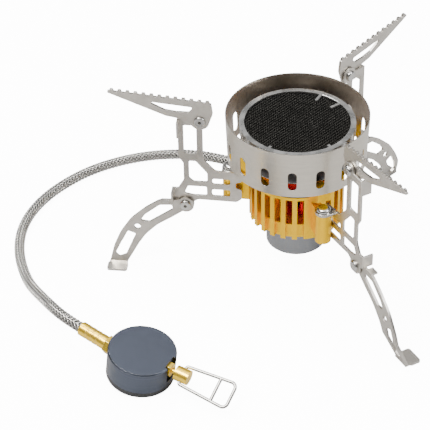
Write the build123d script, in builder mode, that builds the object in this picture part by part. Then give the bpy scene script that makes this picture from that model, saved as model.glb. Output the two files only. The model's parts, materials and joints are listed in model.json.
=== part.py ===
"""Folding camping stove with a remote gas coupler.

Millimetres, +Z up. The burner axis is x = y = 0 and the stove stands on z = 0.
Each arm is drawn once with its swing rivet on the Z axis and its plates in the XZ plane,
then placed three times.
"""

import os
from math import cos, pi, radians, sin, tan

from build123d import *

# Finned body, base cup and bosses
body_bottom = 39.0
body_top = 68.6
body_radius = 27.5
groove_radius = 25.0
bore_radius = 21.0
floor_top = 42.0
slot_bottom = 48.0
slot_top = 66.6
slot_width = 3.8
slot_angles = [18, 32, 46, 60, 74, 88, 102]
cup_radius = 17.5
cup_bottom = 19.5
cup_floor = 2.5
boss_azimuths = [-70.0, 50.0, 170.0]
boss_circle = 38.5
boss_radius = 4.6
boss_bottom = 45.8
boss_top = 64.6
washer_radius = 4.9
washer_thickness = 0.6
rivet_head_radius = 4.1
rivet_head_height = 2.2
web_width = 5.0
shield_arm_top = 78.4

# Windshield and burner
shield_foot_radius = 39.7
shield_rim_radius = 40.8
shield_wall = 0.55
shield_bottom = 78.6
shield_top = 107.9
shield_slots = 16
shield_slot_length = 12.2
shield_slot_width = 5.0
first_slot_azimuth = -96.7
shield_slot_middle = 89.5
shield_rivet_circle = 37.0
shield_tab = 0.6
head_radius = 33.0
head_wall = 0.8
head_top = 102.3
mesh_radius = 31.2
mesh_bottom = 99.8
lip_bottom = 101.2
claws = [(60.5, 7.0), (34.0, 7.0), (-55.8, 2.4), (-124.2, 2.4)]
tube_radius = 5.3
tube_bore = 4.3
tube_length = 32.5
neck_bottom = 70.0

# Arms: swing brackets, pot supports and legs
arm_azimuths = [-61.5, 44.8, 172.6]
plate = 1.2
plate_start = 4.9
outer_start = plate_start + plate + 0.3
outer_plate = 1.5
support_pivot = (16.2, 102.6)
leg_pivot = (25.8, 42.9)
leg_hole = (54.9, 24.8)
leg_bend = 14.0
leg_splay = 18.0
pin_radius = 1.6
running_fit = 0.05
ear_gap = 0.15
tooth_count = 13
tooth_pitch = 4.5

# Gas hose, coupler, valve and wire handle
hose_radius = 3.25
hose_route = [
    (-6.6, 37.42, 27.0),
    (-8.68, 49.24, 27.0),
    (-11.4, 62.1, 22.4),
    (-15.0, 73.2, 14.8),
    (-20.7, 83.9, 7.9),
    (-30.3, 93.5, 4.3),
    (-43.0, 101.5, 3.3),
    (-57.5, 106.2, 3.3),
    (-73.0, 107.8, 3.3),
    (-88.5, 106.6, 3.3),
    (-103.5, 102.8, 3.3),
    (-117.5, 96.8, 3.3),
    (-130.5, 88.6, 3.3),
    (-142.0, 78.0, 3.3),
    (-152.0, 66.0, 3.3),
    (-159.6, 52.5, 3.3),
    (-164.4, 38.0, 3.3),
    (-166.2, 23.0, 3.3),
    (-165.2, 8.0, 3.3),
    (-161.8, -6.5, 3.3),
    (-157.4, -19.5, 4.4),
    (-152.4, -31.5, 8.2),
    (-147.4, -42.8, 12.6),
    (-141.3, -54.6, 15.9),
    (-133.0, -65.3, 16.3),
    (-123.4, -72.3, 14.6),
]
coupler_radius = 19.15
coupler_height = 17.5
coupler_seal_height = 3.2
line_height = 6.0
valve_height = 12.2
valve_turn = 8.3
gland_start = 12.0
gland_face = 16.6
ferrule_radius = 4.1
nut_face = 18.5
nut_end = 23.5
ferrule_end = 41.7
canister_thread_radius = 5.55
canister_thread_length = 7.0
insert_bottom = 1.2
insert_radius = 8.0
spindle_radius = 1.5
knuckle_middle = 25.6
knuckle_radius = 4.3
knuckle_half_length = 4.0
wire_radius = 0.95
handle_reach = 30.0
handle_half_width = 7.6
handle_roll = 30.0
handle_lift = 3.0
cross_bar = 20.5
cross_bar_half_width = 6.7


def radial_plane(azimuth):
    """A plane through the burner axis: x points outwards, y points up."""
    outwards = Vector(cos(radians(azimuth)), sin(radians(azimuth)), 0)
    return Plane(origin=(0, 0, 0), x_dir=outwards, z_dir=outwards.cross(Vector(0, 0, 1)))


def facing_plane(azimuth, radius, height):
    """An upright plane that faces outwards at this azimuth and radius."""
    outwards = Vector(cos(radians(azimuth)), sin(radians(azimuth)), 0)
    return Plane(
        origin=outwards * radius + Vector(0, 0, height),
        x_dir=Vector(0, 0, 1).cross(outwards),
        z_dir=outwards,
    )


def save(piece, name):
    """Label one finished piece and write it."""
    piece.label = name
    export_step(piece, f"parts/{name}.step")


def build_finned_body():
    with BuildPart() as finned_body:
        with BuildSketch(Plane.XY.offset(body_bottom)):
            Circle(body_radius)
        extrude(amount=body_top - body_bottom)
        with BuildSketch(Plane.XY.offset(boss_bottom)):
            with PolarLocations(boss_circle, 3, start_angle=boss_azimuths[0]):
                Circle(boss_radius)
            with PolarLocations(boss_circle - 7.5, 3, start_angle=boss_azimuths[0]):
                Rectangle(15, web_width)
        extrude(amount=boss_top - boss_bottom)
        for azimuth in boss_azimuths:
            with BuildSketch(radial_plane(azimuth)):
                Polygon(
                    (groove_radius, slot_top - 2.6),
                    (39, 73),
                    (39, shield_arm_top),
                    (groove_radius + 3, shield_arm_top),
                    (groove_radius, shield_arm_top - 3),
                    align=None,
                )
            extrude(amount=4, both=True)
        with BuildSketch(Plane.XY.offset(floor_top)):
            Circle(bore_radius)
        extrude(amount=body_top - floor_top, mode=Mode.SUBTRACT)
        with BuildSketch(Plane.XY.offset(body_bottom)):
            Circle(7)
        extrude(amount=floor_top - body_bottom, mode=Mode.SUBTRACT)
        for azimuth in boss_azimuths:
            for angle in slot_angles:
                with BuildSketch(Plane.XY.offset(slot_bottom)):
                    with PolarLocations(body_radius - 4, 1, start_angle=azimuth + angle):
                        Rectangle(10, slot_width)
                extrude(amount=slot_top - slot_bottom, mode=Mode.SUBTRACT)
                with BuildSketch(Plane.XY.offset(body_bottom)):
                    with PolarLocations(groove_radius + 3, 1, start_angle=azimuth + angle):
                        Rectangle(6, slot_width)
                extrude(amount=slot_bottom - body_bottom, mode=Mode.SUBTRACT)
        with BuildSketch(Plane.XY.offset(boss_bottom)):
            with PolarLocations(boss_circle, 3, start_angle=boss_azimuths[0]):
                Circle(pin_radius)
        extrude(amount=boss_top - boss_bottom, mode=Mode.SUBTRACT)
        with BuildSketch(Plane.XY.offset(shield_arm_top - 3)):
            with PolarLocations(shield_rivet_circle, 3, start_angle=boss_azimuths[0]):
                Circle(1.0)
        extrude(amount=3, mode=Mode.SUBTRACT)
    return finned_body.part


def build_base_cup():
    with BuildPart() as base_cup:
        with BuildSketch(Plane.XY.offset(cup_bottom)):
            Circle(cup_radius)
        extrude(amount=body_bottom - cup_bottom)
        chamfer(base_cup.faces().sort_by(Axis.Z)[0].edges(), 0.6)
        with BuildSketch(Plane.XY.offset(cup_bottom + cup_floor)):
            Circle(cup_radius - 2)
        extrude(amount=body_bottom - cup_bottom, mode=Mode.SUBTRACT)
        with BuildSketch(Plane.XY.offset(cup_bottom)):
            Circle(3)
        extrude(amount=cup_floor, mode=Mode.SUBTRACT)
        with BuildSketch(inlet_plane):
            Circle(4.1)
        extrude(amount=-25, mode=Mode.SUBTRACT)
    return base_cup.part


def build_jet_holder():
    with BuildPart() as jet_holder:
        with BuildSketch(Plane.XY.offset(cup_bottom + cup_floor)):
            Circle(6)
        extrude(amount=12)
        with BuildSketch(Plane.XY.offset(cup_bottom - 3.5)):
            Circle(3)
        extrude(amount=6)
        with BuildSketch(Plane.XY.offset(cup_bottom + 8.5)):
            Circle(2.2)
        extrude(amount=6, mode=Mode.SUBTRACT)
        with BuildSketch(inlet_plane.offset(-35)):
            Circle(2.5)
        extrude(amount=8, mode=Mode.SUBTRACT)
    return jet_holder.part


def build_base_nut():
    with BuildPart() as base_nut:
        with BuildSketch(Plane.XY.offset(cup_bottom - 2.5)):
            RegularPolygon(5, 6)
            Circle(3, mode=Mode.SUBTRACT)
        extrude(amount=2.5)
    return base_nut.part


def build_gas_jet():
    with BuildPart() as gas_jet:
        with BuildSketch(Plane.XY.offset(cup_bottom + 10)):
            Circle(2.2)
        extrude(amount=4.5)
        with BuildSketch(Plane.XY.offset(cup_bottom + 14.5)):
            RegularPolygon(4, 6)
        extrude(amount=3)
        with BuildSketch(Plane.XY.offset(cup_bottom + 17.5)):
            Circle(1.8)
        extrude(amount=3.5)
        with BuildSketch(Plane.XY.offset(cup_bottom + 10)):
            Circle(0.4)
        extrude(amount=11, mode=Mode.SUBTRACT)
    return gas_jet.part


def build_mixing_tube():
    """The red tube where gas and air mix, with air windows above its flange."""
    with BuildPart() as mixing_tube:
        with BuildSketch(Plane.XY.offset(floor_top)):
            Circle(9.5)
        extrude(amount=1.5)
        with BuildSketch(Plane.XY.offset(floor_top)):
            Circle(tube_radius)
        extrude(amount=tube_length)
        with BuildSketch(Plane.XY.offset(neck_bottom - 2)):
            Circle(7.6)
        extrude(amount=2)
        with BuildSketch(Plane.XY.offset(floor_top)):
            Circle(tube_bore)
        extrude(amount=tube_length, mode=Mode.SUBTRACT)
        with BuildSketch(Plane.XZ.offset(-12)):
            with Locations((0, 48)):
                SlotOverall(7, 3.6, rotation=90)
        extrude(amount=24, mode=Mode.SUBTRACT)
        with BuildSketch(Plane.YZ.offset(-12)):
            with Locations((0, 48)):
                SlotOverall(7, 3.6, rotation=90)
        extrude(amount=24, mode=Mode.SUBTRACT)
    return mixing_tube.part


def build_windshield():
    with BuildPart() as windshield:
        with BuildSketch(Plane.XZ):
            Polygon(
                (shield_foot_radius, shield_bottom),
                (shield_rim_radius, shield_top),
                (shield_rim_radius - shield_wall, shield_top),
                (shield_foot_radius - shield_wall, shield_bottom),
                align=None,
            )
        revolve(axis=Axis.Z)
        with BuildSketch(Plane.XY.offset(shield_bottom)):
            with PolarLocations(shield_rivet_circle, 3, start_angle=boss_azimuths[0]):
                Rectangle(4.8, 8)
                Circle(1.0, mode=Mode.SUBTRACT)
        extrude(amount=shield_tab)
        for count in range(shield_slots):
            azimuth = first_slot_azimuth + count * 360 / shield_slots
            with BuildSketch(facing_plane(azimuth, shield_foot_radius - 3, shield_slot_middle)):
                SlotOverall(shield_slot_length, shield_slot_width, rotation=90)
            extrude(amount=6, mode=Mode.SUBTRACT)
    return windshield.part


def build_shield_rivets():
    """Three small rivets that hold the windshield's tabs down on the body."""
    with BuildPart() as shield_rivets:
        with BuildSketch(Plane.XY.offset(shield_arm_top - 3)):
            with PolarLocations(shield_rivet_circle, 3, start_angle=boss_azimuths[0]):
                Circle(1.0)
        extrude(amount=3.8)
        with BuildSketch(Plane.XY.offset(shield_bottom + shield_tab)):
            with PolarLocations(shield_rivet_circle, 3, start_angle=boss_azimuths[0]):
                Circle(1.7)
        extrude(amount=0.9)
    return shield_rivets.part


def build_burner_bowl():
    """The burner's steel funnel, one wall thick, from its neck to its rim."""
    neck = tube_radius + head_wall
    rim = head_radius - 0.8
    with BuildPart() as burner_bowl:
        with BuildSketch(Plane.XZ):
            with BuildLine():
                Polyline(
                    (neck, neck_bottom),
                    (neck, 73),
                    (24, 76),
                    (rim, 82.5),
                    (rim, lip_bottom),
                    (rim - head_wall, lip_bottom),
                    (rim - head_wall, 83),
                    (23.6, 76.8),
                    (tube_radius, 73.7),
                    (tube_radius, neck_bottom),
                    close=True,
                )
            make_face()
        revolve(axis=Axis.Z)
    return burner_bowl.part


def build_burner_ring():
    """The bright rim with the four claws that hold the mesh down."""
    with BuildPart() as burner_ring:
        with BuildSketch(Plane.XY.offset(97)):
            Circle(head_radius)
            Circle(head_radius - 0.8, mode=Mode.SUBTRACT)
        extrude(amount=head_top - 97)
        with BuildSketch(Plane.XY.offset(lip_bottom)):
            Circle(head_radius)
            Circle(head_radius - 3, mode=Mode.SUBTRACT)
            for azimuth, reach in claws:
                with PolarLocations(30.5 - reach / 2, 1, start_angle=azimuth):
                    Rectangle(reach, 1.6)
        extrude(amount=head_top - lip_bottom)
        fillet(burner_ring.edges().filter_by(GeomType.CIRCLE).sort_by(Axis.Z)[-1], 0.4)
    return burner_ring.part


def build_burner_mesh():
    with BuildPart() as burner_mesh:
        with BuildSketch(Plane.XY.offset(mesh_bottom)):
            Circle(mesh_radius)
            for row in range(1, 5):
                with PolarLocations(6.6 * row, 6 * row):
                    Circle(1.3, mode=Mode.SUBTRACT)
        extrude(amount=1.3)
    return burner_mesh.part


def build_swing_rivets():
    """Three rivets down through the bosses: domed head, shank and closed end."""
    with BuildPart() as swing_rivets:
        with BuildSketch(Plane.XY.offset(boss_bottom - 1)):
            with PolarLocations(boss_circle, 3, start_angle=boss_azimuths[0]):
                Circle(2.8)
        extrude(amount=1)
        with BuildSketch(Plane.XY.offset(boss_bottom - 1)):
            with PolarLocations(boss_circle, 3, start_angle=boss_azimuths[0]):
                Circle(pin_radius)
        extrude(amount=rivet_head_bottom - boss_bottom + 1)
        with BuildSketch(Plane.XY.offset(rivet_head_bottom)):
            with PolarLocations(boss_circle, 3, start_angle=boss_azimuths[0]):
                Circle(rivet_head_radius)
        extrude(amount=rivet_head_height)
        fillet(swing_rivets.faces().group_by(Axis.Z)[-1].edges(), 1.9)
    return swing_rivets.part


def build_swing_washers():
    with BuildPart() as swing_washers:
        with BuildSketch(Plane.XY.offset(washer_bottom)):
            with PolarLocations(boss_circle, 3, start_angle=boss_azimuths[0]):
                Circle(washer_radius)
                Circle(pin_radius, mode=Mode.SUBTRACT)
        extrude(amount=washer_thickness)
    return swing_washers.part


def rounded_face(points, mode=Mode.ADD):
    """Add or cut a face whose outline is a list of (x, y, corner radius) points."""
    with BuildLine() as outline:
        FilletPolyline(*[(x, y) for x, y, _ in points], radius=[r for _, _, r in points], close=True)
    make_face(outline.edges(), mode=mode)


def build_bracket():
    """The stamped swing bracket: an upright plate, one ear over the boss and two stop tabs."""
    with BuildPart() as bracket:
        with BuildSketch(Plane.XZ.offset(-plate_start - plate)):
            rounded_face(bracket_outline)
            for pivot in (support_pivot, leg_pivot):
                with Locations(pivot):
                    Circle(5)
                    Circle(pin_radius, mode=Mode.SUBTRACT)
            for window in bracket_windows:
                rounded_face(window, Mode.SUBTRACT)
        extrude(amount=plate)
        with BuildSketch(Plane.XY.offset(boss_top + ear_gap)):
            Circle(4.8)
            with Locations((0, 2.9)):
                Rectangle(9.6, 5.8)
            Circle(pin_radius + running_fit, mode=Mode.SUBTRACT)
        extrude(amount=plate)
        for outer_edge, bottom, top in (support_stop, leg_stop):
            with Locations((outer_edge - plate / 2, plate_start + 3.4, (bottom + top) / 2)):
                Box(plate, 6.8, top - bottom)
    return bracket.part


def build_pot_support():
    """The toothed arm that a pot stands on, riveted to the top of its bracket."""
    first, last = (9.5, 114.8), (68.0, 120.5)
    slope = (last[1] - first[1]) / (last[0] - first[0])
    tooth_starts = [first[0] + 2.2 + tooth_pitch * count for count in range(tooth_count)]
    with BuildPart() as pot_support:
        with BuildSketch(Plane.XZ.offset(-outer_start - outer_plate)):
            rounded_face(support_outline)
            with Locations(support_pivot):
                Circle(5.5)
                Circle(pin_radius + running_fit, mode=Mode.SUBTRACT)
            rounded_face(support_window, Mode.SUBTRACT)
            with Locations(*[(x, first[1] + slope * (x - first[0]) + 0.4) for x in tooth_starts]):
                Trapezoid(3.0, 1.8, 70)
        extrude(amount=outer_plate)
    return pot_support.part


def build_leg():
    """The banana-shaped folding leg with its foot bent flat on the ground."""
    with BuildPart() as leg:
        with BuildSketch(Plane.XZ.offset(-outer_start - outer_plate)):
            rounded_face(leg_outline)
            with Locations(leg_pivot):
                Circle(5)
                Circle(pin_radius + running_fit, mode=Mode.SUBTRACT)
            for window in leg_windows:
                rounded_face(window, Mode.SUBTRACT)
            with Locations(leg_hole):
                Circle(1.9, mode=Mode.SUBTRACT)
        extrude(amount=outer_plate)
        shin = split(leg.part, bisect_by=Plane.XY.offset(leg_bend), keep=Keep.BOTTOM, mode=Mode.PRIVATE)
        split(bisect_by=Plane.XY.offset(leg_bend), keep=Keep.TOP)
        add(shin.rotate(Axis((0, outer_start, leg_bend), (1, 0, 0)), leg_splay))
        with BuildSketch(Plane.XY):
            rounded_face(foot_outline)
        extrude(amount=outer_plate)
        with Locations((37.5, outer_start + 2.2, 45.2)):
            Box(5, 4.4, 1.3)
    return leg.part


def build_rivet(pivot):
    """A tubular rivet through a bracket lug and the plate that turns on it."""
    far_face = outer_start + outer_plate + 0.1
    with BuildPart() as rivet:
        with BuildSketch(Plane.XZ.offset(-far_face)):
            with Locations(pivot):
                Circle(pin_radius)
        extrude(amount=far_face - plate_start)
        with BuildSketch(Plane.XZ.offset(-far_face - 1.3)):
            with Locations(pivot):
                Circle(3.4)
        extrude(amount=1.3)
        fillet(rivet.faces().sort_by(Axis.Y)[-1].edges(), 0.8)
        with BuildSketch(Plane.XZ.offset(-far_face - 1.3)):
            with Locations(pivot):
                Circle(1.0)
        extrude(amount=2.4, mode=Mode.SUBTRACT)
        with BuildSketch(Plane.XZ.offset(-plate_start)):
            with Locations(pivot):
                Circle(3.3)
        extrude(amount=1.7)
        fillet(rivet.faces().sort_by(Axis.Y)[0].edges(), 1.3)
    return rivet.part


def build_hose():
    """The braided hose as a plain tube along straight runs joined by tangent arcs."""
    points = [Vector(*point) for point in hose_route]
    radii = []
    for before, corner, after in zip(points, points[1:], points[2:]):
        turn = (corner - before).get_angle(after - corner)
        shorter = min((corner - before).length, (after - corner).length)
        radii.append(0.45 * shorter / tan(radians(turn / 2)))
    print("hose radii", [round(radius) for radius in radii])
    with BuildPart() as hose:
        with BuildLine() as path:
            FilletPolyline(*hose_route, radius=radii)
        with BuildSketch(inlet_plane):
            Circle(hose_radius)
        sweep(path=path.line)
    length = path.wires()[0].length
    print("hose length", round(length, 1), "volume ratio",
          round(hose.part.volume / (pi * hose_radius**2 * length), 4))
    return hose.part


def build_ferrule(face, length):
    """A crimped brass sleeve that ends at this plane, with three crimp grooves."""
    with BuildPart() as ferrule:
        with BuildSketch(face.offset(-length)):
            Circle(ferrule_radius)
            Circle(1.2, mode=Mode.SUBTRACT)
        extrude(amount=length)
        for groove in (0.3, 0.5, 0.7):
            with BuildSketch(face.offset(-length * groove - 0.5)):
                Circle(ferrule_radius + 1)
                Circle(ferrule_radius - 0.35, mode=Mode.SUBTRACT)
            extrude(amount=1, mode=Mode.SUBTRACT)
    return ferrule.part


def build_hose_inlet():
    """The brass fitting through the base cup's wall into the jet holder."""
    with BuildPart() as hose_inlet:
        with BuildSketch(inlet_plane.offset(-inlet_ferrule)):
            RegularPolygon(5.4, 6)
        extrude(amount=-6)
        with BuildSketch(inlet_plane.offset(-inlet_ferrule - 6)):
            Circle(4.1)
        extrude(amount=-6)
        with BuildSketch(inlet_plane.offset(-inlet_ferrule - 12)):
            Circle(2.5)
        extrude(amount=-8)
        with BuildSketch(inlet_plane.offset(-inlet_ferrule)):
            Circle(1)
        extrude(amount=-20, mode=Mode.SUBTRACT)
    return hose_inlet.part


def build_coupler_body():
    """The anodised coupler: hose on one side, valve in a notch on the other."""
    with BuildPart() as coupler_body:
        with BuildSketch(coupler.offset(coupler_seal_height)):
            Circle(coupler_radius)
        extrude(amount=coupler_height - coupler_seal_height)
        chamfer(coupler_body.faces().sort_by(Axis.Z)[-1].edges(), 0.7)
        with BuildSketch(coupler.offset(coupler_seal_height)):
            Circle(insert_radius)
        extrude(amount=8, mode=Mode.SUBTRACT)
        with BuildSketch(hose_side.offset(nut_face)):
            Circle(5.9)
        extrude(amount=3, mode=Mode.SUBTRACT)
        with BuildSketch(hose_side.offset(7)):
            Circle(2.7)
        extrude(amount=nut_face - 7, mode=Mode.SUBTRACT)
        with BuildSketch(valve_side.offset(gland_face)):
            Rectangle(9.6, 11.4)
        extrude(amount=4, mode=Mode.SUBTRACT)
        with BuildSketch(valve_side.offset(gland_start)):
            Circle(3)
        extrude(amount=5, mode=Mode.SUBTRACT)
        with BuildSketch(valve_side.offset(9.5)):
            Circle(1.2)
        extrude(amount=2.5, mode=Mode.SUBTRACT)
    return coupler_body.part


def build_coupler_seal():
    """The black rubber bumper ring round the coupler's lower edge."""
    with BuildPart() as coupler_seal:
        with BuildSketch(coupler):
            Circle(coupler_radius)
            Circle(coupler_radius - 4, mode=Mode.SUBTRACT)
        extrude(amount=coupler_seal_height)
        with BuildSketch(hose_side.offset(nut_face)):
            Circle(5.9)
        extrude(amount=3, mode=Mode.SUBTRACT)
    return coupler_seal.part


def build_canister_insert():
    """The brass insert: canister thread, seal chamber and the pin that opens the canister's valve."""
    with BuildPart() as canister_insert:
        with BuildSketch(coupler.offset(insert_bottom)):
            Circle(insert_radius)
        extrude(amount=10)
        with BuildSketch(coupler.offset(insert_bottom)):
            Circle(canister_thread_radius)
        extrude(amount=canister_thread_length, mode=Mode.SUBTRACT)
        with BuildSketch(coupler.offset(insert_bottom + canister_thread_length)):
            Circle(4.6)
            Circle(1.1, mode=Mode.SUBTRACT)
        extrude(amount=2.2, mode=Mode.SUBTRACT)
    return canister_insert.part


def build_canister_seal():
    """The O-ring that a canister's nozzle presses into."""
    with BuildPart() as canister_seal:
        with BuildSketch(Plane(origin=coupler.origin, x_dir=coupler.x_dir, z_dir=-coupler.y_dir)):
            with Locations((3.7, 9.3)):
                Circle(0.85)
        revolve(axis=Axis(coupler.origin, coupler.z_dir))
    return canister_seal.part


def build_hose_nut():
    """The brass hexagon that screws the hose into the coupler."""
    with BuildPart() as hose_nut:
        with BuildSketch(hose_side.offset(nut_face)):
            RegularPolygon(5.6, 6)
        extrude(amount=nut_end - nut_face)
        with BuildSketch(hose_side.offset(10)):
            Circle(2.7)
        extrude(amount=nut_face - 10)
        with BuildSketch(hose_side.offset(10)):
            Circle(1.2)
        extrude(amount=nut_end - 10, mode=Mode.SUBTRACT)
    return hose_nut.part


def build_valve_gland():
    with BuildPart() as valve_gland:
        with BuildSketch(valve_side.offset(gland_start)):
            Circle(3)
        extrude(amount=gland_face - gland_start)
        with BuildSketch(valve_side.offset(gland_face)):
            RegularPolygon(4.2, 6)
        extrude(amount=2.4)
        with BuildSketch(valve_side.offset(gland_start)):
            Circle(spindle_radius + running_fit)
        extrude(amount=7, mode=Mode.SUBTRACT)
    return valve_gland.part


def build_valve_spindle():
    """The needle spindle and its round head, cross-drilled for the wire handle."""
    with BuildPart() as valve_spindle:
        with BuildSketch(valve_side.offset(12.4)):
            Circle(spindle_radius)
        extrude(amount=knuckle_middle - 12.4)
        with BuildSketch(valve_side.offset(knuckle_middle - knuckle_half_length)):
            Circle(knuckle_radius)
        extrude(amount=2 * knuckle_half_length)
        with BuildSketch(pin_plane):
            Circle(wire_radius + running_fit)
        extrude(amount=6, both=True, mode=Mode.SUBTRACT)
    return valve_spindle.part


def build_valve_handle():
    """The wire handle: a loop with a cross bar, its ends turned into the spindle's head."""
    with BuildPart() as valve_handle:
        with BuildLine(handle_plane) as path:
            FilletPolyline(
                (0, 1.2),
                (0, 5.4),
                (handle_reach, handle_half_width),
                (handle_reach, -handle_half_width),
                (0, -5.4),
                (0, -1.2),
                radius=[1.2, 3, 3, 1.2],
            )
        with BuildSketch(pin_plane.offset(1.2)):
            Circle(wire_radius)
        sweep(path=path.line)
        with BuildSketch(pin_plane.shift_origin(handle_plane.from_local_coords((cross_bar, 0, 0)))):
            Circle(wire_radius)
        extrude(amount=cross_bar_half_width, both=True)
    return valve_handle.part


def place_arms():
    """Write the three arms: each has a bracket, a pot support, a leg and their rivets."""
    pieces = {
        "swing_bracket": build_bracket(),
        "pot_support": build_pot_support(),
        "support_rivet": build_rivet(support_pivot),
        "leg": build_leg(),
        "leg_rivet": build_rivet(leg_pivot),
    }
    for number, (boss, arm) in enumerate(zip(boss_azimuths, arm_azimuths), start=1):
        boss_x = boss_circle * cos(radians(boss))
        boss_y = boss_circle * sin(radians(boss))
        for name, piece in pieces.items():
            save(piece.moved(Location((boss_x, boss_y, 0), (0, 0, arm))), f"{name}_{number}")


# Outlines of the stamped plates, as (distance out from the boss, height, corner radius)
support_stop = (29.3, 93.0, 103.3)
leg_stop = (33.7, 46.15, 53.8)
bracket_outline = [
    (29.3, 103.3, 1),
    (29.3, 76.5, 3),
    (26.6, 72, 3),
    (26.6, 60, 3),
    (30, 53.8, 1),
    (33.7, 53.8, 0),
    (33.7, 46.15, 0),
    (29, 44, 0),
    (23, 43, 0),
    (18.5, 46.2, 3),
    (-4, 45.6, 2),
    (-7, 48, 2),
    (-7, 54.6, 1),
    (-3.6, 55.6, 1.2),
    (-3.6, 59.4, 1.2),
    (-7, 60.2, 1),
    (-7, 64.4, 0.5),
    (-4.9, 66.4, 0.5),
    (3.4, 66.8, 3),
    (8.3, 67.4, 3),
    (15, 75, 3),
    (15, 99, 1),
    (13, 103.3, 0),
]
bracket_windows = [
    [(18.6, 98.4, 1), (26, 98.4, 1), (26, 78.6, 1.5), (18.6, 78.6, 1.5)],
    [(19.4, 73.6, 1), (23.4, 73.6, 1), (23.4, 61.5, 2), (20.8, 59.1, 1), (12.9, 59.1, 1), (12.9, 65.4, 2)],
    [(13.3, 55.7, 1), (24.2, 55.7, 1), (26.4, 50.4, 1), (21, 49.3, 1), (13.3, 49.3, 1)],
    [(10, 57.8, 1.2), (10, 61.6, 1.2), (-0.5, 61.6, 1.2), (-0.5, 57.8, 1.2)],
    [(10.3, 49.4, 1.2), (10.3, 54, 1.2), (-0.4, 54, 1.2), (-0.4, 49.4, 1.2)],
]
support_outline = [
    (9.5, 114.8, 1),
    (68, 120.5, 0.5),
    (68, 119.2, 0.3),
    (35.3, 105.4, 6),
    (28.6, 104.2, 3),
    (23.5, 101, 2),
    (17, 98, 0),
    (11, 101, 0),
    (8.6, 108, 4),
]
support_window = [
    (19.5, 111.9, 1),
    (46, 114.6, 0.6),
    (35.9, 109.4, 3),
    (29.4, 108.4, 2),
    (22.2, 108.4, 1),
]
leg_outline = [
    (25.8, 46.5, 0),
    (33.8, 46, 0),
    (40.4, 45.9, 10),
    (49.1, 39.7, 25),
    (58.6, 30.7, 25),
    (65.2, 20.2, 25),
    (69.3, 10.5, 25),
    (71.8, 0, 0),
    (61.2, 0, 0),
    (56.5, 8.4, 8),
    (50.5, 19, 25),
    (42.9, 27.2, 25),
    (34.2, 33.2, 20),
    (27.2, 38.5, 0),
    (24, 42, 0),
]
leg_windows = [
    [
        (53.1, 29.5, 1),
        (49.9, 34.3, 1.5),
        (41.1, 41.8, 3),
        (33.9, 42.3, 1),
        (33.4, 39.3, 1),
        (47.7, 28.8, 1.5),
    ],
    [(60.8, 21.3, 1), (56, 19.3, 1), (62.2, 4.8, 1.5), (66, 3.3, 0.8), (68.4, 5.1, 1)],
]
foot_outline = [
    (61.2, 10.4, 0),
    (71.8, 10.4, 0),
    (71.8, 13.2, 1),
    (72.6, 14.2, 1),
    (72.6, 20.2, 1.5),
    (60.6, 20.2, 1.5),
    (60.6, 14.2, 1),
    (61.2, 13.2, 1),
]

# Planes of the hose's two ends and of the coupler
hose_points = [Vector(*point) for point in hose_route]
inlet_ferrule = 14.0
upright = Vector(0, 0, 1)
inlet_axis = (hose_points[1] - hose_points[0]).normalized()
inlet_plane = Plane(origin=hose_points[0], x_dir=upright.cross(inlet_axis), z_dir=inlet_axis)
line_axis = (hose_points[-2] - hose_points[-1]).normalized()
side_axis = upright.cross(line_axis).normalized()
coupler_axis = line_axis.cross(side_axis)
line_origin = hose_points[-1] - line_axis * ferrule_end
coupler = Plane(origin=line_origin - coupler_axis * line_height, x_dir=line_axis, z_dir=coupler_axis)
hose_side = Plane(origin=line_origin, x_dir=side_axis, z_dir=line_axis)
valve_axis = line_axis * -cos(radians(valve_turn)) + coupler_axis.cross(-line_axis) * sin(radians(valve_turn))
valve_side_axis = coupler_axis.cross(valve_axis)
valve_origin = coupler.origin + coupler_axis * valve_height
valve_side = Plane(origin=valve_origin, x_dir=valve_side_axis, z_dir=valve_axis)
pin_axis = valve_side_axis * cos(radians(handle_roll)) + coupler_axis * sin(radians(handle_roll))
knuckle = valve_origin + valve_axis * knuckle_middle
lift_axis = valve_axis.cross(pin_axis)
reach_axis = valve_axis * cos(radians(handle_lift)) + lift_axis * sin(radians(handle_lift))
handle_plane = Plane(origin=knuckle, x_dir=reach_axis, z_dir=reach_axis.cross(pin_axis))
pin_plane = Plane(origin=knuckle, x_dir=reach_axis, z_dir=pin_axis)

# Heights of the pieces stacked on each boss
washer_bottom = boss_top + ear_gap + plate + ear_gap
rivet_head_bottom = washer_bottom + washer_thickness

os.makedirs("parts", exist_ok=True)
save(build_finned_body(), "finned_body")
save(build_base_cup(), "base_cup")
save(build_jet_holder(), "jet_holder")
save(build_base_nut(), "base_nut")
save(build_gas_jet(), "gas_jet")
save(build_mixing_tube(), "mixing_tube")
save(build_windshield(), "windshield")
save(build_shield_rivets(), "shield_rivets")
save(build_burner_bowl(), "burner_bowl")
save(build_burner_ring(), "burner_ring")
save(build_burner_mesh(), "burner_mesh")
save(build_swing_rivets(), "swing_rivets")
save(build_swing_washers(), "swing_washers")
save(build_hose(), "gas_hose")
save(build_ferrule(inlet_plane, inlet_ferrule), "inlet_ferrule")
save(build_hose_inlet(), "hose_inlet")
save(build_ferrule(hose_side.offset(ferrule_end), ferrule_end - nut_end), "coupler_ferrule")
save(build_hose_nut(), "hose_nut")
save(build_coupler_body(), "coupler_body")
save(build_coupler_seal(), "coupler_seal")
save(build_canister_insert(), "canister_insert")
save(build_canister_seal(), "canister_seal")
save(build_valve_gland(), "valve_gland")
save(build_valve_spindle(), "valve_spindle")
save(build_valve_handle(), "valve_handle")
place_arms()
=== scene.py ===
import json
from math import cos, pi, radians, sin, sqrt

import bmesh
import bpy
from mathutils import Matrix, Vector


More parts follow.
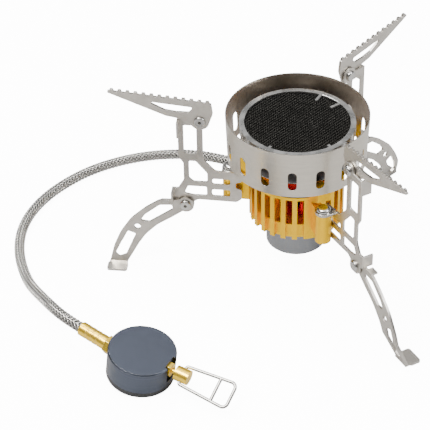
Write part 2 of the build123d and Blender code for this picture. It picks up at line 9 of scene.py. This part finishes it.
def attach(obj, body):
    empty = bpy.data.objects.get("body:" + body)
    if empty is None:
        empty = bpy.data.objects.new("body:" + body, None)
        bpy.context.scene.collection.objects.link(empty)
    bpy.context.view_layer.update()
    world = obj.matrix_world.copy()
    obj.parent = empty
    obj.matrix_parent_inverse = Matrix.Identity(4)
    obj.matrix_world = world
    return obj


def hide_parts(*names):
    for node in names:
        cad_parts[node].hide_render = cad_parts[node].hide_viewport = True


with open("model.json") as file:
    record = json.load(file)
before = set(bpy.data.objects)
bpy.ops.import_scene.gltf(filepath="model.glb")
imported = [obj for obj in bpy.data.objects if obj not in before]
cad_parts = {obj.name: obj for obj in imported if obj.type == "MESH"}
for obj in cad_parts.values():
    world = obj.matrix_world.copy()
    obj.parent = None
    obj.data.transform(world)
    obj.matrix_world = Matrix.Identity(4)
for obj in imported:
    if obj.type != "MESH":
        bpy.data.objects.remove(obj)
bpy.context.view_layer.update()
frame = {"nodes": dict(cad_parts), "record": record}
nodes = frame["nodes"]
print("frame loaded:", len(nodes), "nodes")


# camera, floor and light

cameraSet = {
    "place": (-0.04746, -0.83014, 0.68273),
    "tilt": 52.11,
    "roll": -1.23,
    "lens": 150.7,
    "sensor": 36,
}

lightSet = {
    "floorColour": (0.92, 0.92, 0.92),
    "floorInMetal": (0.5, 0.5, 0.5),  # the darker floor that polished metal reflects
    "floorGlow": 12.0,
    "floorSize": 6.0,
    "floorDrop": 0.0002,
    "floorRoughness": 0.9,
    "floorGloss": 0.1,
    "worldStrength": 1.0,
}

# height of the direction looked in, from straight down to straight up, and the tone seen there
worldBands = [
    (0.0, 0.4),
    (0.49, 0.3),
    (0.55, 0.13),
    (0.70, 0.14),
    (0.85, 0.26),
    (0.91, 1.5),
    (1.0, 2.2),
]

# place, what it is aimed at, size, watts, colour
softboxes = {
    "keyLight": ((-0.45, -0.35, 1.1), (0, 0, 0.04), 0.5, 17.0, (1.0, 0.98, 0.95)),
    "fillLight": ((0.9, -0.3, 0.75), (0, 0, 0.06), 0.5, 7.0, (0.96, 0.98, 1.0)),
    "backLight": ((-0.5, 0.55, 1.3), (0, 0, 0.08), 0.6, 12.0, (1.0, 1.0, 1.0)),
}


def addCamera(values):
    camera = bpy.data.cameras.new("camera")
    camera.lens = values["lens"]
    camera.sensor_width = values["sensor"]
    camera.clip_start = 0.01
    cameraObject = bpy.data.objects.new("camera", camera)
    tilt = Matrix.Rotation(radians(values["tilt"]), 4, "X")
    roll = Matrix.Rotation(radians(values["roll"]), 4, "Z")
    cameraObject.matrix_world = Matrix.Translation(values["place"]) @ tilt @ roll
    bpy.context.collection.objects.link(cameraObject)
    bpy.context.scene.camera = cameraObject


def addSoftbox(name, place, target, size, watts, colour):
    light = bpy.data.lights.new(name, "AREA")
    light.shape = "DISK"
    light.size = size
    light.energy = watts
    light.color = colour
    lightObject = bpy.data.objects.new(name, light)
    aim = Vector(target) - Vector(place)
    turn = aim.to_track_quat("-Z", "Y").to_matrix().to_4x4()
    lightObject.matrix_world = Matrix.Translation(place) @ turn
    bpy.context.collection.objects.link(lightObject)


def addFloor(values):
    half = values["floorSize"] / 2
    mesh = bpy.data.meshes.new("floor")
    corners = [(-half, -half, 0), (half, -half, 0), (half, half, 0), (-half, half, 0)]
    mesh.from_pydata(corners, [], [(0, 1, 2, 3)])
    floor = bpy.data.objects.new("floor", mesh)
    floor.location.z = -values["floorDrop"]
    bpy.context.collection.objects.link(floor)
    paint = bpy.data.materials.new("floorPaint")
    paint.use_nodes = True
    shader = paint.node_tree.nodes["Principled BSDF"]
    shader.inputs["Roughness"].default_value = values["floorRoughness"]
    shader.inputs["Specular IOR Level"].default_value = values["floorGloss"]
    shader.inputs["Emission Color"].default_value = (1, 1, 1, 1)
    tree = paint.node_tree
    ray = tree.nodes.new("ShaderNodeLightPath")
    tone = tree.nodes.new("ShaderNodeMix")
    tone.data_type = "RGBA"
    tone.inputs["A"].default_value = (*values["floorColour"], 1)
    tone.inputs["B"].default_value = (*values["floorInMetal"], 1)
    glow = tree.nodes.new("ShaderNodeMath")
    glow.operation = "MULTIPLY"
    glow.inputs[1].default_value = values["floorGlow"]
    tree.links.new(ray.outputs["Is Glossy Ray"], tone.inputs["Factor"])
    tree.links.new(tone.outputs["Result"], shader.inputs["Base Color"])
    tree.links.new(ray.outputs["Is Camera Ray"], glow.inputs[0])
    tree.links.new(glow.outputs[0], shader.inputs["Emission Strength"])
    mesh.materials.append(paint)


def addWorld(values):
    world = bpy.data.worlds.new("studio")
    world.use_nodes = True
    tree = world.node_tree
    background = tree.nodes["Background"]
    background.inputs["Strength"].default_value = values["worldStrength"]
    direction = tree.nodes.new("ShaderNodeTexCoord")
    parts = tree.nodes.new("ShaderNodeSeparateXYZ")
    height = tree.nodes.new("ShaderNodeMapRange")
    height.inputs["From Min"].default_value = -1.0
    bands = tree.nodes.new("ShaderNodeValToRGB")
    while len(bands.color_ramp.elements) < len(worldBands):
        bands.color_ramp.elements.new(0.5)
    for stop, (position, tone) in zip(bands.color_ramp.elements, worldBands):
        stop.position = position
        stop.color = (tone, tone, tone, 1)
    tree.links.new(direction.outputs["Generated"], parts.inputs[0])
    tree.links.new(parts.outputs["Z"], height.inputs["Value"])
    tree.links.new(height.outputs["Result"], bands.inputs["Fac"])
    tree.links.new(bands.outputs["Color"], background.inputs["Color"])
    bpy.context.scene.world = world


addCamera(cameraSet)
addFloor(lightSet)
addWorld(lightSet)
for boxName, boxValues in softboxes.items():
    addSoftbox(boxName, *boxValues)
print("camera and light placed")


# shader groups that several finishes share


def startGroup(name, inputs, outputs):
    group = bpy.data.node_groups.new(name, "ShaderNodeTree")
    for socketName, kind, value in inputs:
        socket = group.interface.new_socket(socketName, in_out="INPUT", socket_type=kind)
        socket.default_value = value
    for socketName, kind in outputs:
        group.interface.new_socket(socketName, in_out="OUTPUT", socket_type=kind)
    start = group.nodes.new("NodeGroupInput")
    end = group.nodes.new("NodeGroupOutput")
    return group, start, end


def mathNode(tree, operation, first, second):
    node = tree.nodes.new("ShaderNodeMath")
    node.operation = operation
    for socket, value in zip(node.inputs, (first, second)):
        if isinstance(value, (int, float)):
            socket.default_value = value
        else:
            tree.links.new(value, socket)
    return node.outputs[0]


def rangeNode(tree, value, low, high, outLow=0.0, outHigh=1.0):
    node = tree.nodes.new("ShaderNodeMapRange")
    tree.links.new(value, node.inputs["Value"])
    ends = {"From Min": low, "From Max": high, "To Min": outLow, "To Max": outHigh}
    for socketName, number in ends.items():
        node.inputs[socketName].default_value = number
    return node.outputs["Result"]


def noiseNode(tree, vector, scale, detail=2.0):
    node = tree.nodes.new("ShaderNodeTexNoise")
    node.inputs["Detail"].default_value = detail
    tree.links.new(vector, node.inputs["Vector"])
    if isinstance(scale, (int, float)):
        node.inputs["Scale"].default_value = scale
    else:
        tree.links.new(scale, node.inputs["Scale"])
    return node.outputs["Fac"]


def makeEdgeWearAndHighlight():  # rubbed metal on the softened edges, which softenEdges marks as edgeStrip; on the coupler it is also a painted highlight along the rim
    group, start, end = startGroup(
        "edgeWearAndHighlight",
        [("Amount", "NodeSocketFloat", 1.0), ("Scale", "NodeSocketFloat", 900.0)],
        [("Mask", "NodeSocketFloat")],
    )
    strip = group.nodes.new("ShaderNodeAttribute")
    strip.attribute_name = "edgeStrip"
    place = group.nodes.new("ShaderNodeTexCoord")
    patch = rangeNode(group, noiseNode(group, place.outputs["Object"], start.outputs["Scale"]), 0.3, 0.6)
    mask = mathNode(group, "MULTIPLY", strip.outputs["Fac"], patch)
    group.links.new(mathNode(group, "MULTIPLY", mask, start.outputs["Amount"]), end.inputs["Mask"])
    return group


def makeRolledGrain():  # fine lines along a sheet: the stretch squeezes them into streaks
    group, start, end = startGroup(
        "rolledGrain",
        [("Stretch", "NodeSocketVector", (1.0, 1.0, 1.0)), ("Scale", "NodeSocketFloat", 300.0)],
        [("Tone", "NodeSocketFloat"), ("Height", "NodeSocketFloat")],
    )
    place = group.nodes.new("ShaderNodeTexCoord")
    stretched = group.nodes.new("ShaderNodeVectorMath")
    stretched.operation = "MULTIPLY"
    group.links.new(place.outputs["Object"], stretched.inputs[0])
    group.links.new(start.outputs["Stretch"], stretched.inputs[1])
    fine = noiseNode(group, stretched.outputs[0], start.outputs["Scale"], 4.0)
    broadScale = mathNode(group, "MULTIPLY", start.outputs["Scale"], 0.12)
    broad = noiseNode(group, stretched.outputs[0], broadScale)
    fineShare = mathNode(group, "MULTIPLY", fine, 0.6)
    both = mathNode(group, "ADD", fineShare, mathNode(group, "MULTIPLY", broad, 0.4))
    group.links.new(both, end.inputs["Tone"])
    group.links.new(fine, end.inputs["Height"])
    return group


def makeLatheRings():  # turning marks: the tone changes only along the axis of the turned piece
    group, start, end = startGroup(
        "latheRings",
        [("Axis", "NodeSocketVector", (0.0, 0.0, 1.0)), ("Scale", "NodeSocketFloat", 2500.0)],
        [("Tone", "NodeSocketFloat"), ("Height", "NodeSocketFloat")],
    )
    place = group.nodes.new("ShaderNodeTexCoord")
    along = group.nodes.new("ShaderNodeVectorMath")
    along.operation = "DOT_PRODUCT"
    group.links.new(place.outputs["Object"], along.inputs[0])
    group.links.new(start.outputs["Axis"], along.inputs[1])
    rings = group.nodes.new("ShaderNodeTexNoise")
    rings.noise_dimensions = "1D"
    rings.inputs["Detail"].default_value = 3.0
    group.links.new(along.outputs["Value"], rings.inputs["W"])
    group.links.new(start.outputs["Scale"], rings.inputs["Scale"])
    group.links.new(rings.outputs["Fac"], end.inputs["Tone"])
    group.links.new(rings.outputs["Fac"], end.inputs["Height"])
    return group


def makeMottle():  # the uneven dull spots of tumbled, handled metal
    group, start, end = startGroup(
        "mottle",
        [("Scale", "NodeSocketFloat", 250.0)],
        [("Tone", "NodeSocketFloat"), ("Height", "NodeSocketFloat")],
    )
    place = group.nodes.new("ShaderNodeTexCoord")
    broad = noiseNode(group, place.outputs["Object"], start.outputs["Scale"], 3.0)
    fineScale = mathNode(group, "MULTIPLY", start.outputs["Scale"], 9.0)
    fine = noiseNode(group, place.outputs["Object"], fineScale)
    group.links.new(rangeNode(group, broad, 0.3, 0.7), end.inputs["Tone"])
    group.links.new(fine, end.inputs["Height"])
    return group


edgeWearAndHighlight = makeEdgeWearAndHighlight()
rolledGrain = makeRolledGrain()
latheRings = makeLatheRings()
mottle = makeMottle()
print("shader groups made")


# finishes: noise scales and roughness spreads that go with each kind of surface

surfaceSet = {
    "anodisedWear": 700.0,
    "anodisedSpread": (0.02, 0.02),
    "steelWear": 1100.0,
    "steelSpread": (0.06, 0.08),
    "shieldSpread": (0.04, 0.08),
    "rubberSpread": (0.08, 0.08),
    "bumpDistance": 0.0001,
}


class Finish:
    def __init__(self, name, metallic, roughness):
        self.material = bpy.data.materials.new(name)
        self.material.use_nodes = True
        self.tree = self.material.node_tree
        self.shader = self.tree.nodes["Principled BSDF"]
        self.shader.inputs["Metallic"].default_value = metallic
        self.shader.inputs["Roughness"].default_value = roughness

    def group(self, group, **values):
        node = self.tree.nodes.new("ShaderNodeGroup")
        node.node_tree = group
        for socketName, value in values.items():
            node.inputs[socketName].default_value = value
        return node

    def mix(self, mask, first, second):
        node = self.tree.nodes.new("ShaderNodeMix")
        node.data_type = "RGBA"
        self.tree.links.new(mask, node.inputs["Factor"])
        for socket, colour in ((node.inputs["A"], first), (node.inputs["B"], second)):
            if isinstance(colour, tuple):
                socket.default_value = (*colour, 1)
            else:
                self.tree.links.new(colour, socket)
        return node.outputs["Result"]

    def colour(self, output):
        self.tree.links.new(output, self.shader.inputs["Base Color"])

    def rough(self, mask, middle, spread):
        low, high = middle - spread[0], middle + spread[1]
        self.tree.links.new(rangeNode(self.tree, mask, 0.0, 1.0, low, high), self.shader.inputs["Roughness"])

    def bump(self, height, strength):
        node = self.tree.nodes.new("ShaderNodeBump")
        node.inputs["Strength"].default_value = strength
        node.inputs["Distance"].default_value = surfaceSet["bumpDistance"]
        self.tree.links.new(height, node.inputs["Height"])
        self.tree.links.new(node.outputs["Normal"], self.shader.inputs["Normal"])


def anodised(name, values, axis=(0.0, 0.0, 1.0)):
    finish = Finish(name, values["metallic"], values["roughness"])
    rings = finish.group(latheRings, Axis=axis, Scale=values["ringScale"])
    spots = finish.group(mottle, Scale=values["mottleScale"])
    wearAndHighlight = finish.group(edgeWearAndHighlight, Amount=values["wearAndHighlight"], Scale=surfaceSet["anodisedWear"])
    tone = finish.mix(rings.outputs["Tone"], values["deep"], values["bright"])
    finish.colour(finish.mix(wearAndHighlight.outputs["Mask"], tone, values["wornAndHighlight"]))
    finish.rough(spots.outputs["Tone"], values["roughness"], surfaceSet["anodisedSpread"])
    finish.bump(rings.outputs["Height"], values["ringDepth"])
    return finish.material


def steel(name, values, stretch=(1.0, 1.0, 1.0)):
    finish = Finish(name, 1.0, values["roughness"])
    grain = finish.group(rolledGrain, Stretch=stretch, Scale=values["grainScale"])
    spots = finish.group(mottle, Scale=values["mottleScale"])
    wearAndHighlight = finish.group(edgeWearAndHighlight, Amount=values["wearAndHighlight"], Scale=surfaceSet["steelWear"])
    tone = finish.mix(grain.outputs["Tone"], values["deep"], values["bright"])
    stain = rangeNode(finish.tree, spots.outputs["Tone"], 0.0, 1.0, 0.0, values["stain"])
    tone = finish.mix(stain, tone, values["dull"])
    finish.colour(finish.mix(wearAndHighlight.outputs["Mask"], tone, values["wornAndHighlight"]))
    finish.rough(spots.outputs["Tone"], values["roughness"], surfaceSet["steelSpread"])
    finish.bump(grain.outputs["Height"], values["grainDepth"])
    return finish.material


def shieldSteel(name, values):  # brushed outside, heat-browned inside
    finish = Finish(name, 1.0, values["roughness"])
    grain = finish.group(rolledGrain, Stretch=values["stretch"], Scale=values["grainScale"])
    wearAndHighlight = finish.group(edgeWearAndHighlight, Amount=values["wearAndHighlight"], Scale=surfaceSet["steelWear"])
    place = finish.tree.nodes.new("ShaderNodeTexCoord")
    outward = finish.tree.nodes.new("ShaderNodeVectorMath")
    outward.operation = "MULTIPLY"
    finish.tree.links.new(place.outputs["Object"], outward.inputs[0])
    outward.inputs[1].default_value = (values["outwardScale"], values["outwardScale"], 0.0)
    facing = finish.tree.nodes.new("ShaderNodeVectorMath")
    facing.operation = "DOT_PRODUCT"
    finish.tree.links.new(place.outputs["Normal"], facing.inputs[0])
    finish.tree.links.new(outward.outputs[0], facing.inputs[1])
    inside = rangeNode(finish.tree, facing.outputs["Value"], -0.2, -0.7)
    bands = noiseNode(finish.tree, place.outputs["Object"], values["heatScale"], 2.0)
    brown = finish.mix(bands, values["heatDeep"], values["heatBright"])
    tone = finish.mix(grain.outputs["Tone"], values["deep"], values["bright"])
    tone = finish.mix(wearAndHighlight.outputs["Mask"], tone, values["wornAndHighlight"])
    finish.colour(finish.mix(inside, tone, brown))
    finish.rough(grain.outputs["Tone"], values["roughness"], surfaceSet["shieldSpread"])
    finish.bump(grain.outputs["Height"], values["grainDepth"])
    return finish.material


def rubber(name, values):
    finish = Finish(name, 0.0, values["roughness"])
    spots = finish.group(mottle, Scale=values["mottleScale"])
    finish.colour(finish.mix(spots.outputs["Tone"], values["deep"], values["bright"]))
    finish.rough(spots.outputs["Tone"], values["roughness"], surfaceSet["rubberSpread"])
    finish.bump(spots.outputs["Height"], values["grainDepth"])
    return finish.material


goldSet = {
    "deep": (1.0, 0.52, 0.0),
    "bright": (1.0, 0.66, 0.0),
    "wornAndHighlight": (1.0, 0.82, 0.25),
    "metallic": 0.85,
    "roughness": 0.36,
    "ringScale": 2600.0,
    "ringDepth": 0.06,
    "mottleScale": 300.0,
    "wearAndHighlight": 0.6,
}
greyBaseSet = {
    "metallic": 1.0,
    "deep": (0.20, 0.21, 0.23),
    "bright": (0.36, 0.37, 0.39),
    "wornAndHighlight": (0.6, 0.6, 0.62),
    "roughness": 0.3,
    "ringScale": 3200.0,
    "ringDepth": 0.12,
    "mottleScale": 260.0,
    "wearAndHighlight": 0.6,
}
redTubeSet = {
    "deep": (0.60, 0.010, 0.02),
    "bright": (0.85, 0.025, 0.04),
    "wornAndHighlight": (0.9, 0.3, 0.3),
    "metallic": 0.5,
    "roughness": 0.24,
    "ringScale": 2600.0,
    "ringDepth": 0.05,
    "mottleScale": 300.0,
    "wearAndHighlight": 0.2,
}
couplerSet = {
    "metallic": 1.0,
    "deep": (0.085, 0.095, 0.125),
    "bright": (0.115, 0.13, 0.165),
    # on the coupler the worn colour on the edge strips is partly rubbed metal and partly a painted highlight
    # along the rim of its top
    "wornAndHighlight": (0.7, 0.72, 0.76),
    "roughness": 0.33,
    "ringScale": 900.0,
    "ringDepth": 0.02,
    "mottleScale": 200.0,
    "wearAndHighlight": 1.0,
}
brassSet = {
    "axis": (0.8, 0.55, 0.25),
    "deep": (0.98, 0.56, 0.03),
    "bright": (1.0, 0.76, 0.10),
    "wornAndHighlight": (1.0, 0.86, 0.4),
    "metallic": 0.85,
    "roughness": 0.26,
    "ringScale": 1200.0,
    "ringDepth": 0.02,
    "mottleScale": 400.0,
    "wearAndHighlight": 0.7,
}
shieldSet = {
    "deep": (0.50, 0.46, 0.40),
    "bright": (0.70, 0.66, 0.58),
    "wornAndHighlight": (0.88, 0.86, 0.83),
    "heatDeep": (0.30, 0.25, 0.20),
    "heatBright": (0.50, 0.43, 0.355),
    "heatScale": 45.0,
    "outwardScale": 25.0,  # one over the shield's radius in metres
    "stretch": (1.0, 1.0, 14.0),
    "grainScale": 240.0,
    "grainDepth": 0.08,
    "roughness": 0.3,
    "wearAndHighlight": 0.9,
}
stampedSet = {
    "deep": (0.50, 0.47, 0.42),
    "bright": (0.70, 0.665, 0.61),
    "wornAndHighlight": (0.9, 0.88, 0.84),
    "dull": (0.40, 0.37, 0.34),
    "stain": 0.25,
    "roughness": 0.34,
    "grainScale": 500.0,
    "grainDepth": 0.10,
    "mottleScale": 180.0,
    "wearAndHighlight": 0.9,
}
rivetSet = dict(
    stampedSet,
    deep=(0.5, 0.49, 0.47),
    bright=(0.68, 0.67, 0.65),
    roughness=0.2,
    stain=0.15,
)
burnerSet = dict(
    stampedSet,
    deep=(0.72, 0.72, 0.70),
    bright=(0.82, 0.82, 0.80),
    roughness=0.28,
    stain=0.05,
    wearAndHighlight=0.2,
)
# burner bowl painted near black: painted shade for its side and underside, which sit in shadow under the
# burner ring
bowlPaintedShadeSet = dict(
    stampedSet,
    deep=(0.05, 0.05, 0.055),
    bright=(0.11, 0.11, 0.12),
    roughness=0.34,
)
wireSet = dict(
    stampedSet,
    deep=(0.34, 0.33, 0.31),
    bright=(0.55, 0.54, 0.51),
    roughness=0.2,
    grainScale=900.0,
)
braidSet = dict(
    stampedSet,
    deep=(0.36, 0.35, 0.325),
    bright=(0.88, 0.86, 0.82),
    roughness=0.15,
    grainScale=1500.0,
)
meshSet = dict(
    stampedSet,
    deep=(0.010, 0.010, 0.009),
    bright=(0.045, 0.043, 0.040),
    dull=(0.015, 0.015, 0.014),
    wornAndHighlight=(0.1, 0.09, 0.08),
    roughness=0.42,
    stain=0.5,
    grainScale=700.0,
)
blackRubberSet = {
    "deep": (0.012, 0.012, 0.013),
    "bright": (0.03, 0.03, 0.032),
    "roughness": 0.5,
    "mottleScale": 400.0,
    "grainDepth": 0.2,
}


def couplerAxis():
    for mount in frame["record"]["mounts"]:
        if mount["name"] == "canister_thread":
            return tuple(-part for part in mount["axis"])
    return (0.0, 0.0, 1.0)


finishes = {
    "gold_anodised": anodised("goldAnodised", goldSet),
    "grey_anodised": anodised("greyAnodised", greyBaseSet),
    "red_anodised": anodised("redAnodised", redTubeSet),
    "coupler_anodised": anodised("couplerAnodised", couplerSet, couplerAxis()),
    "brass": anodised("turnedBrass", brassSet, brassSet["axis"]),
    "stainless_sheet": shieldSteel("shieldSteel", shieldSet),
    "stamped_stainless": steel("stampedSteel", stampedSet),
    "rivet_steel": steel("rivetSteel", rivetSet),
    "burner_steel": steel("burnerSteel", burnerSet),
    "mesh_steel": steel("meshSteel", meshSet),
    "wire_steel": steel("wireSteel", wireSet),
    "braided_hose": steel("braidSteel", braidSet),
    "black_rubber": rubber("blackRubber", blackRubberSet),
}
bowlPaintedShade = steel("bowlPaintedShade", bowlPaintedShadeSet)
hoseCore = rubber("hoseCore", blackRubberSet)
slotOf = {part["node"]: part["material_slot"] for part in frame["record"]["subparts"]}
print("finishes made:", len(finishes))


# CAD pieces with their stamped or turned edges softened

edgeSet = {  # widths in millimetres
    "finned_body": 0.35,
    "base_cup": 0.3,
    "windshield": 0.12,
    "burner_bowl": 0.15,
    "burner_ring": 0.12,
    "mixing_tube": 0.2,
    "jet_holder": 0.2,
    "base_nut": 0.2,
    "gas_jet": 0.12,
    "hose_inlet": 0.2,
    "inlet_ferrule": 0.2,
    "coupler_ferrule": 0.2,
    "hose_nut": 0.25,
    "coupler_body": 0.2,
    "coupler_seal": 0.5,
    "canister_insert": 0.2,
    "valve_gland": 0.15,
    "valve_spindle": 0.4,
    "shield_rivets": 0.3,
    "swing_washers": 0.15,
}
for side in ("_1", "_2", "_3"):
    edgeSet.update({"swing_bracket" + side: 0.28, "pot_support" + side: 0.3, "leg" + side: 0.32})


def bodyOf(nodeName):
    for body, members in frame["record"]["behaviour"]["bodies"].items():
        if nodeName in members:
            return body
    return "stove"


def finishOf(nodeName):
    # the burner bowl takes the near-black painted-shade steel instead of its own finish
    return bowlPaintedShade if nodeName == "burner_bowl" else finishes[slotOf[nodeName]]


bevelSet = {
    "sharpAngle": 38,
    "flatAngle": 0.5,
    "mergeDistance": 0.000002,
    "segments": 2,
    "normalWeight": 80,
}


def softenEdges(nodeName, width):
    work = bmesh.new()
    work.from_mesh(nodes[nodeName].data)
    bmesh.ops.remove_doubles(work, verts=work.verts, dist=bevelSet["mergeDistance"])
    flat = radians(bevelSet["flatAngle"])
    bmesh.ops.dissolve_limit(work, angle_limit=flat, verts=work.verts, edges=work.edges)
    strip = work.faces.layers.float.new("edgeStrip")
    limit = radians(bevelSet["sharpAngle"])
    sharp = [edge for edge in work.edges if edge.is_manifold and edge.calc_face_angle() > limit]
    rounded = bmesh.ops.bevel(
        work,
        geom=sharp,
        offset=width / 1000,
        offset_type="OFFSET",
        segments=bevelSet["segments"],
        profile=0.5,
        affect="EDGES",
        clamp_overlap=True,
    )
    for face in rounded["faces"]:
        face[strip] = 1.0
    mesh = bpy.data.meshes.new(nodeName + "_soft")
    work.to_mesh(mesh)
    work.free()
    piece = bpy.data.objects.new(nodeName + "_soft", mesh)
    bpy.context.collection.objects.link(piece)
    mesh.shade_smooth()
    flats = piece.modifiers.new("flatFaces", "WEIGHTED_NORMAL")
    flats.mode = "FACE_AREA"
    flats.weight = bevelSet["normalWeight"]
    mesh.materials.clear()
    mesh.materials.append(finishOf(nodeName))
    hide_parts(nodeName)
    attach(piece, bodyOf(nodeName))
    return piece


softened = {nodeName: softenEdges(nodeName, width) for nodeName, width in edgeSet.items()}
for nodeName, node in nodes.items():
    node.data.materials.clear()
    node.data.materials.append(finishOf(nodeName))
print("edges softened:", len(softened))


# braided gas hose

hoseSet = {
    "radius": 0.00325,
    "coreRadius": 0.00275,
    "braidRadius": 0.00292,
    "weaveDepth": 0.00018,
    "crown": 0.00015,
    "strandsEachWay": 8,
    "strandWidth": 0.00150,
    "turnLength": 0.020,
    "samples": 38,
    "coreSides": 20,
    "coreEvery": 4,
}
hoseRoute = [
    (-0.0066, 0.03742, 0.0270),
    (-0.00868, 0.04924, 0.0270),
    (-0.0114, 0.0621, 0.0224),
    (-0.0150, 0.0732, 0.0148),
    (-0.0207, 0.0839, 0.0079),
    (-0.0303, 0.0935, 0.0043),
    (-0.0430, 0.1015, 0.0033),
    (-0.0575, 0.1062, 0.0033),
    (-0.0730, 0.1078, 0.0033),
    (-0.0885, 0.1066, 0.0033),
    (-0.1035, 0.1028, 0.0033),
    (-0.1175, 0.0968, 0.0033),
    (-0.1305, 0.0886, 0.0033),
    (-0.1420, 0.0780, 0.0033),
    (-0.1520, 0.0660, 0.0033),
    (-0.1596, 0.0525, 0.0033),
    (-0.1644, 0.0380, 0.0033),
    (-0.1662, 0.0230, 0.0033),
    (-0.1652, 0.0080, 0.0033),
    (-0.1618, -0.0065, 0.0033),
    (-0.1574, -0.0195, 0.0044),
    (-0.1524, -0.0315, 0.0082),
    (-0.1474, -0.0428, 0.0126),
    (-0.1413, -0.0546, 0.0159),
    (-0.1330, -0.0653, 0.0163),
    (-0.1234, -0.0723, 0.0146),
]


def smoothLine(name, points, samples):
    curve = bpy.data.curves.new(name, "CURVE")
    curve.dimensions = "3D"
    spline = curve.splines.new("NURBS")
    spline.points.add(len(points) - 1)
    for control, place in zip(spline.points, points):
        control.co = (*place, 1)
    spline.order_u = 3
    spline.use_endpoint_u = True
    spline.resolution_u = samples
    guide = bpy.data.objects.new(name, curve)
    mesh = bpy.data.meshes.new_from_object(guide)
    line = [vertex.co.copy() for vertex in mesh.vertices]
    bpy.data.meshes.remove(mesh)
    bpy.data.objects.remove(guide)
    bpy.data.curves.remove(curve)
    return line


def carriedFrames(line):  # distance along the line and two directions across it, carried without twist
    frames = []
    across = Vector((0, 0, 1))
    distance = 0.0
    for index, place in enumerate(line):
        before = line[max(index - 1, 0)]
        after = line[min(index + 1, len(line) - 1)]
        along = (after - before).normalized()
        across = (across - along * across.dot(along)).normalized()
        distance += (place - before).length
        frames.append((place, distance, across.copy(), along.cross(across)))
    return frames


def sweepSection(work, frames, section, materialIndex):  # section(distance) gives (angle, radius) pairs
    rows = []
    for place, distance, across, side in frames:
        row = []
        for angle, radius in section(distance):
            row.append(work.verts.new(place + (across * cos(angle) + side * sin(angle)) * radius))
        rows.append(row)
    for first, second in zip(rows, rows[1:]):
        for index in range(len(first)):
            following = (index + 1) % len(first)
            face = work.faces.new((first[index], first[following], second[following], second[index]))
            face.material_index = materialIndex
            face.smooth = True
    work.faces.new(tuple(reversed(rows[0]))).material_index = materialIndex
    work.faces.new(tuple(rows[-1])).material_index = materialIndex


def makeBraidedHose(values, route):
    line = smoothLine("hoseGuide", route, values["samples"])
    frames = carriedFrames(line)
    work = bmesh.new()

    def core(distance):
        sides = values["coreSides"]
        return [(2 * pi * step / sides, values["coreRadius"]) for step in range(sides)]

    sweepSection(work, frames[:: values["coreEvery"]], core, 1)
    twist = 2 * pi / values["turnLength"]
    halfAngle = values["strandWidth"] / 2 / values["braidRadius"]
    for direction in (1, -1):
        for strand in range(values["strandsEachWay"]):
            start = 2 * pi * strand / values["strandsEachWay"]

            def ribbon(distance, start=start, direction=direction):
                angle = start + direction * twist * distance
                lift = direction * values["weaveDepth"] * cos(values["strandsEachWay"] * twist * distance)
                middle = values["braidRadius"] + lift
                return [
                    (angle - halfAngle, middle - values["crown"] * 0.6),
                    (angle, middle - values["crown"] * 1.2),
                    (angle + halfAngle, middle - values["crown"] * 0.6),
                    (angle, middle + values["crown"]),
                ]

            sweepSection(work, frames, ribbon, 0)
    mesh = bpy.data.meshes.new("braided_gas_hose")
    work.to_mesh(mesh)
    work.free()
    hose = bpy.data.objects.new("braided_gas_hose", mesh)
    bpy.context.collection.objects.link(hose)
    mesh.materials.append(finishes["braided_hose"])
    mesh.materials.append(hoseCore)
    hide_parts("gas_hose")
    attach(hose, "stove")


makeBraidedHose(hoseSet, hoseRoute)


# woven burner mesh over a dark disc of painted shade

burnerMeshSet = {
    "radius": 0.0311,
    "pitch": 0.00125,
    "wire": 0.00034,
    "wave": 0.00034,
    "height": 0.1007,
    "shadeDiscBottom": 0.0999,
    "shadeDiscTop": 0.1001,
    "sideSteps": 4,
    "shadeDiscSides": 96,
}


def makeBurnerMesh(values):
    work = bmesh.new()
    pitch = values["pitch"]
    count = int(values["radius"] / pitch)
    for turn in (0, 1):
        for wire in range(-count, count + 1):
            offset = wire * pitch
            reach = sqrt(max(values["radius"] ** 2 - offset**2, 0.0))
            steps = int(reach / (pitch / 2))
            if steps < 2:
                continue
            rows = []
            for step in range(-steps, steps + 1):
                along = step * pitch / 2
                wave = values["wave"] * cos(pi * (along / pitch + wire + turn))
                row = []
                for side in range(values["sideSteps"]):
                    angle = 2 * pi * side / values["sideSteps"]
                    across = offset + cos(angle) * values["wire"]
                    height = values["height"] + wave + sin(angle) * values["wire"]
                    place = (along, across, height) if turn == 0 else (across, along, height)
                    row.append(work.verts.new(place))
                rows.append(row)
            for first, second in zip(rows, rows[1:]):
                for index in range(values["sideSteps"]):
                    following = (index + 1) % values["sideSteps"]
                    face = work.faces.new((first[index], first[following], second[following], second[index]))
                    face.smooth = True
            work.faces.new(tuple(reversed(rows[0])))
            work.faces.new(tuple(rows[-1]))
    # near-black disc just under the wires: painted shade seen through the gaps of the mesh
    bmesh.ops.create_cone(
        work,
        cap_ends=True,
        segments=values["shadeDiscSides"],
        radius1=values["radius"],
        radius2=values["radius"],
        depth=values["shadeDiscTop"] - values["shadeDiscBottom"],
        matrix=Matrix.Translation((0, 0, (values["shadeDiscTop"] + values["shadeDiscBottom"]) / 2)),
    )
    mesh = bpy.data.meshes.new("woven_burner_mesh")
    bmesh.ops.recalc_face_normals(work, faces=work.faces)
    work.to_mesh(mesh)
    work.free()
    piece = bpy.data.objects.new("woven_burner_mesh", mesh)
    bpy.context.collection.objects.link(piece)
    mesh.materials.append(finishes["mesh_steel"])
    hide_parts("burner_mesh")
    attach(piece, "stove")
    print("burner mesh woven:", 2 * (2 * count + 1), "wires")


makeBurnerMesh(burnerMeshSet)
